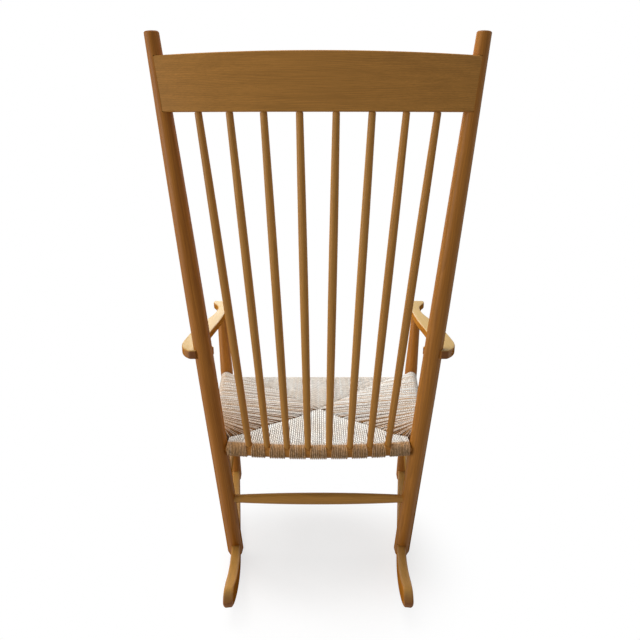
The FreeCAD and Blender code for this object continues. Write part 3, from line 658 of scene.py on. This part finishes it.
railU, behindU, seamU, railPitch, seamPitch = rearPlaces(rearPanel)
windCross("seat_cords_rear", (railU, behindU, seamU), rearSeamDepth(seamU), rearRailAt(railU), 1,
          (seamPitch, railPitch * rearPanel["squeeze"]), rearPanel)


# Side panels: wider gaps, in mm, between cords at shares of the seam, slimmer cords spread over
# the panel and sunk into painted shadow as dark lines, and browner ones by the rear corner as
# painted shade. The places are a cord's rings as shares of the way from the seam to the rail, on
# top and below. legShare and postShare are how much of the gaps by leg and post stays clear.
sidePanels = {
    "tints": {"left": 0.19, "right": 0.06}, "twist": 1.75, "seamEnds": (18 * mm, 414 * mm),
    "legShare": 0.94, "postShare": 0.95,
    "gapsAt": (0.22, 0.35, 0.46, 0.565, 0.60, 0.665, 0.69, 0.74, 0.78, 0.83, 0.88, 0.93),
    "gapsWide": (0.3, 0.4, 0.5, 1.3, 1.1, 1.4, 1.1, 1.4, 1.1, 1.3, 1.1, 1.0),
    "gapPlace": 0.006, "gapSharp": 0.004, "gapFade": 0.5, "reach": 0.35 * mm, "lift": 0.3 * mm,
    "topPlaces": (0.0, 0.04, 0.5), "lowPlaces": (0.5, 0.0), "windRings": 8, "widthShare": 1.03,
    "cornerFrom": 0.70, "cornerOver": 0.24, "cornerPower": 1.5, "cornerSlim": 0.08,
    "cornerShadeTint": 0.45, "tintApart": 0.05, "railTint": 0.10, "shadowLineCords": 27,
    "shadowLinePlace": (0.1, 0.9), "shadowLineLean": 0.6, "shadowLineTint": (0.7, 1.8), "shadowLineFade": 0.5,
    "shadowLineSlim": (0.35, 0.65), "fadeRings": (2, 5),
}


# Places of the side cords along the seam: even steps, pushed apart by a smooth step at each gap
# and then brought back between the seam's ends
def sideSeamPlaces(share):
    look = sidePanels
    first, last = look["seamEnds"]
    v = share * (last - first)
    for at, wide in zip(look["gapsAt"], look["gapsWide"]):
        push = np.tanh((share - at - rng.normal(0, look["gapPlace"])) / look["gapSharp"])
        v = v + wide * mm * push * (1 - look["gapFade"] * np.abs(share - at))
    v = first + (v - v[0]) * (last - first) / (v[-1] - v[0])
    return v + rng.normal(0, look["reach"], len(share))


# Each cord runs straight from the raised side rail down to its place on the seam, so the panel is
# a ruled surface, steep by the rear corner. On the rail it leaves at the tangent from the seam:
# the angle of the seam seen from the axis plus acos(wind radius / its distance).
def windSide(name, side, baseTint):
    look = sidePanels
    start = sideFront[1] + seatCord["legGap"] * look["legShare"]
    stop = sideBack[1] - seatCord["postGap"] * look["postShare"]
    count = int((stop - start) / pitch)
    share = np.linspace(0, 1, count)
    vRail = start + share * (stop - start)
    vSeam = sideSeamPlaces(share)
    uSeam = seamAcross(vSeam)
    uAxis, wAxis = sideRailAt(vRail)
    topW = upperHeight(uSeam, vSeam) + rng.normal(0, look["lift"], count)
    lowW = lowerHeight(uSeam, vSeam)

    def tangent(w, sign):
        du, dw = uSeam - uAxis, w - wAxis
        lean = np.arccos(np.clip(windRadius / np.hypot(du, dw), -1, 1))
        return np.arctan2(dw, du) % (2 * math.pi) - sign * lean

    first, last = tangent(topW, 1), tangent(lowW, -1) - 2 * math.pi
    wind = first[:, None] + np.linspace(0, 1, look["windRings"]) * (last - first)[:, None]
    windU = uAxis[:, None] + windRadius * np.cos(wind)
    windV = np.broadcast_to(vRail[:, None], windU.shape)
    windW = wAxis[:, None] + windRadius * np.sin(wind)

    # Rings at shares of the way from the seam to the rail, where ring is the winding's nearest
    def straightRun(seamW, ring, places):
        ways = ((uSeam, windU[:, ring]), (vSeam, vRail), (seamW, windW[:, ring]))
        places = np.array(places)
        return [near[:, None] * (1 - places) + far[:, None] * places for near, far in ways]

    topU, topV, topRunW = straightRun(topW, 0, look["topPlaces"])
    topRunW[:, 0] -= seatCord["dive"]
    topU[:, 0] -= seatCord["overSeam"]
    lowU, lowV, lowRunW = straightRun(lowW, -1, look["lowPlaces"])
    lowRunW[:, -1] += seatCord["dive"] * seatCord["lowDive"]
    centre = np.stack((np.concatenate((topU, windU, lowU), axis=1) * side,
                       np.concatenate((topV, windV, lowV), axis=1),
                       np.concatenate((topRunW, windW, lowRunW), axis=1)), axis=2)
    across = np.broadcast_to((0.0, 1.0, 0.0), centre.shape)

    rings = centre.shape[1]
    uneven = rng.normal(1.0, seatCord["apart"], (count, 1))
    corner = np.clip((share - look["cornerFrom"]) / look["cornerOver"], 0, 1)
    corner = corner[:, None] ** look["cornerPower"]
    wide = np.full((count, rings), pitch / 2) * uneven * look["widthShare"]
    wide = wide * (1 - look["cornerSlim"] * corner)
    onTop = np.interp(np.arange(rings), look["fadeRings"], (1, 0))  # fades out over the rail
    # Painted shadow: a few slimmer cords sink into shadow as dark lines between bundles, and the
    # cords by the rear corner are browned as painted shade of the deep corner fan
    lines = look["shadowLineCords"]
    apart = (np.arange(lines) + rng.uniform(*look["shadowLinePlace"], lines)) / lines
    dark = np.unique((apart ** look["shadowLineLean"] * (count - 1)).astype(int))
    tint = baseTint + look["cornerShadeTint"] * corner[:, 0] + rng.normal(0, look["tintApart"], count)
    tint = tint[:, None] + (look["railTint"] + baseTint) * (1 - onTop)
    depth = rng.uniform(*look["shadowLineTint"], len(dark)) * (1 - look["shadowLineFade"] * corner[dark, 0])
    tint[dark] += depth[:, None] * onTop
    wide[dark] *= 1 - rng.uniform(*look["shadowLineSlim"], (len(dark), 1)) * onTop
    strandMesh(name, centre, across, wide, np.clip(tint, 0, 2), look["twist"])


windSide("seat_cords_left", 1, sidePanels["tints"]["left"])
windSide("seat_cords_right", -1, sidePanels["tints"]["right"])


# Packing between the two layers of cord: brown paper, seen only as the dark of the gaps. Its top
# and bottom follow the layers, a cord's thickness inside them, as a closed sheet over a grid
# that thins to nothing at its rim.
packing = {
    "colour": "#6E5038", "pulpSize": 3.333 * mm, "detail": 3.0, "light": (0.7, 1.2),
    "roughness": 0.9, "across": 60, "deep": 60, "inside": 3.2 * mm, "edge": 4 * mm,
    "sideGap": 2 * mm, "seamEnds": (5 * mm, 415 * mm), "rimRise": 12, "join": 0.01 * mm,
}


# Brown kraft paper, matt, with a fine uneven pulp
def kraftPaper(look):
    material, tree = newMaterial("kraft_paper")
    spot = addNode(tree, "TexCoord", give="Object")
    pulp = addNode(tree, "TexNoise", {"Vector": spot, "Scale": 1 / look["pulpSize"],
                                      "Detail": look["detail"]})
    light = addNode(tree, "MapRange", (pulp, 0.0, 1.0, *look["light"]))
    colour = addNode(tree, "VectorMath", {0: linear(look["colour"])[:3], "Scale": light},
                     operation="SCALE")
    surface = addNode(tree, "BsdfPrincipled", {"Base Color": colour,
                                               "Roughness": look["roughness"]})
    addNode(tree, "OutputMaterial", (surface,))
    return material


# s runs across from -1 to 1 and t back from 0 to 1. The layers' height above their middle is
# times a share that falls to 0 at the rim, and is lifted towards the raised side rails.
def makePacking(look):
    s, t = np.meshgrid(np.linspace(-1, 1, look["across"]), np.linspace(0, 1, look["deep"]),
                       indexing="ij")
    v = look["edge"] + t * (seatDepth + railBow * (1 - s ** 2) - 2 * look["edge"])
    halfWide = sideRailAt(np.minimum(v, sideBack[1]))[0] - look["sideGap"]
    u = s * halfWide
    seam = seamAcross(np.clip(v, *look["seamEnds"]))
    lift = sideFront[2] * np.clip((np.abs(u) - seam) / np.maximum(halfWide - seam, 1 * mm), 0, 1)
    top = upperHeight(u, v) + lift - look["inside"]
    low = lowerHeight(u, v) + lift + look["inside"]
    rim = np.minimum(1 - np.abs(s), np.minimum(t, 1 - t))
    thick = np.clip(rim * look["rimRise"], 0, 1)
    middle = (top + low) / 2
    layers = [np.stack((u, v, middle + (layer - middle) * thick), -1) for layer in (top, low)]
    index = np.arange(u.size).reshape(u.shape)
    upper = np.stack((index[:-1, :-1], index[1:, :-1], index[1:, 1:], index[:-1, 1:]), -1)
    upper = upper.reshape(-1, 4)
    lower = upper[:, ::-1] + u.size
    mesh = bpy.data.meshes.new("seat_packing")
    points = fromSeat(np.concatenate(layers).reshape(-1, 3))
    mesh.from_pydata(points.tolist(), [], upper.tolist() + lower.tolist())
    bm = bmesh.new()
    bm.from_mesh(mesh)
    bmesh.ops.remove_doubles(bm, verts=bm.verts, dist=look["join"])
    bm.to_mesh(mesh)
    bm.free()
    mesh.shade_smooth()
    mesh.materials.append(kraftPaper(look))
    piece = addObject("seat_packing", mesh)
    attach(piece, "root")
    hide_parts("seat_weave")


makePacking(packing)
for name in ("seat_cords_front", "seat_cords_rear", "seat_cords_left", "seat_cords_right"):
    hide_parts("seat_weave")
print("seat wound")


# Floor and light. The floor passes into plain white between fade's two distances from fadeFrom.
# A lamp has its place, its size, its power and whether it shows in glossy surfaces.
studio = {
    "floor": 9.0, "floorGlow": 0.62, "floorMatt": 0.41, "floorBounce": 0.32, "ambient": 0.32,
    "fadeFrom": (0.0, 0.10, 0.0), "fade": (0.12, 0.40), "aim": (0.0, 0.0, 0.5),
    "lamps": {"window": ((2.5, -2.6, 2.1), 2.4, 60.0, False),
              "sheen": ((0.5, -3.2, 2.1), 1.9, 34.0, True),
              "overhead": ((0.6, -0.1, 2.9), 2.0, 62.0, False),
              "side": ((2.5, 1.3, 0.5), 1.4, 31.0, True)},
}
white = (1.0, 1.0, 1.0, 1.0)


# Whether a ray comes from the camera, a glossy surface or clear matter: those see the white
# surround
def seenRay(tree):
    camera, glossy, clear = [addNode(tree, "LightPath", give=ray) for ray in
                             ("Is Camera Ray", "Is Glossy Ray", "Is Transmission Ray")]
    either = addNode(tree, "Math", (camera, glossy), operation="MAXIMUM")
    return addNode(tree, "Math", (either, clear), operation="MAXIMUM")


# White paper floor that keeps the shadow: what is seen is a white glow plus a matt share that
# takes light and shadow, and further out it passes into plain white, so that no horizon shows.
def paleFloor(look):
    material, tree = newMaterial("pale_floor")
    glow, plain = [addNode(tree, "Emission", {"Color": white, "Strength": strength})
                   for strength in (look["floorGlow"], 1.0)]
    matt, bounce = [addNode(tree, "BsdfDiffuse", {"Color": (look[name],) * 3 + (1.0,)})
                    for name in ("floorMatt", "floorBounce")]
    lit = addNode(tree, "AddShader", (glow, matt))
    place = addNode(tree, "TexCoord", give="Object")
    far = addNode(tree, "VectorMath", (place, look["fadeFrom"]), "Value", operation="DISTANCE")
    fade = addNode(tree, "MapRange", (far, *look["fade"]), interpolation_type="SMOOTHSTEP")
    shown = addNode(tree, "MixShader", (fade, lit, plain))
    surface = addNode(tree, "MixShader", (seenRay(tree), bounce, shown))
    addNode(tree, "OutputMaterial", (surface,))
    return material


def makeStudio(look):
    half = look["floor"]
    corners = [(-half, -half, 0), (half, -half, 0), (half, half, 0), (-half, half, 0)]
    mesh = bpy.data.meshes.new("floor")
    mesh.from_pydata(corners, [], [(0, 1, 2, 3)])
    mesh.materials.append(paleFloor(look))
    floor = addObject("floor", mesh)
    world = bpy.data.worlds.new("studio")
    bpy.context.scene.world = world
    world.use_nodes = True
    tree = world.node_tree
    tree.nodes.clear()
    soft, plain = [addNode(tree, "Background", {"Color": white, "Strength": strength})
                   for strength in (look["ambient"], 1.0)]
    addNode(tree, "OutputWorld", (addNode(tree, "MixShader", (seenRay(tree), soft, plain)),))
    for name, (place, size, power, inGloss) in look["lamps"].items():
        lamp = bpy.data.lights.new(name, "AREA")
        lamp.size = size
        lamp.energy = power
        holder = addObject(name, lamp)
        holder.location = place
        holder.visible_glossy = inGloss
        aim = mathutils.Vector(look["aim"]) - mathutils.Vector(place)
        holder.rotation_euler = aim.to_track_quat("-Z", "Y").to_euler()


# Camera close behind the chair and 0.7 m above the floor, tilted down by 11 degrees, with its
# lens shifted a little up
cameraView = {
    "place": (-3.4 * mm, 1241.2 * mm, 725.2 * mm), "down": 11.2, "lens": 28.13,
    "sensor": 36.0, "shiftUp": 0.0613, "clipEnd": 50.0,
}


def makeCamera(look):
    lens = bpy.data.cameras.new("camera")
    lens.sensor_width = look["sensor"]
    lens.lens = look["lens"]
    lens.shift_y = look["shiftUp"]
    lens.clip_end = look["clipEnd"]
    camera = addObject("camera", lens)
    camera.location = look["place"]
    camera.rotation_euler = (math.radians(90 - look["down"]), 0.0, math.pi)
    bpy.context.scene.camera = camera


makeStudio(studio)
makeCamera(cameraView)
bpy.context.scene.view_settings.view_transform = "Standard"
print("studio set")
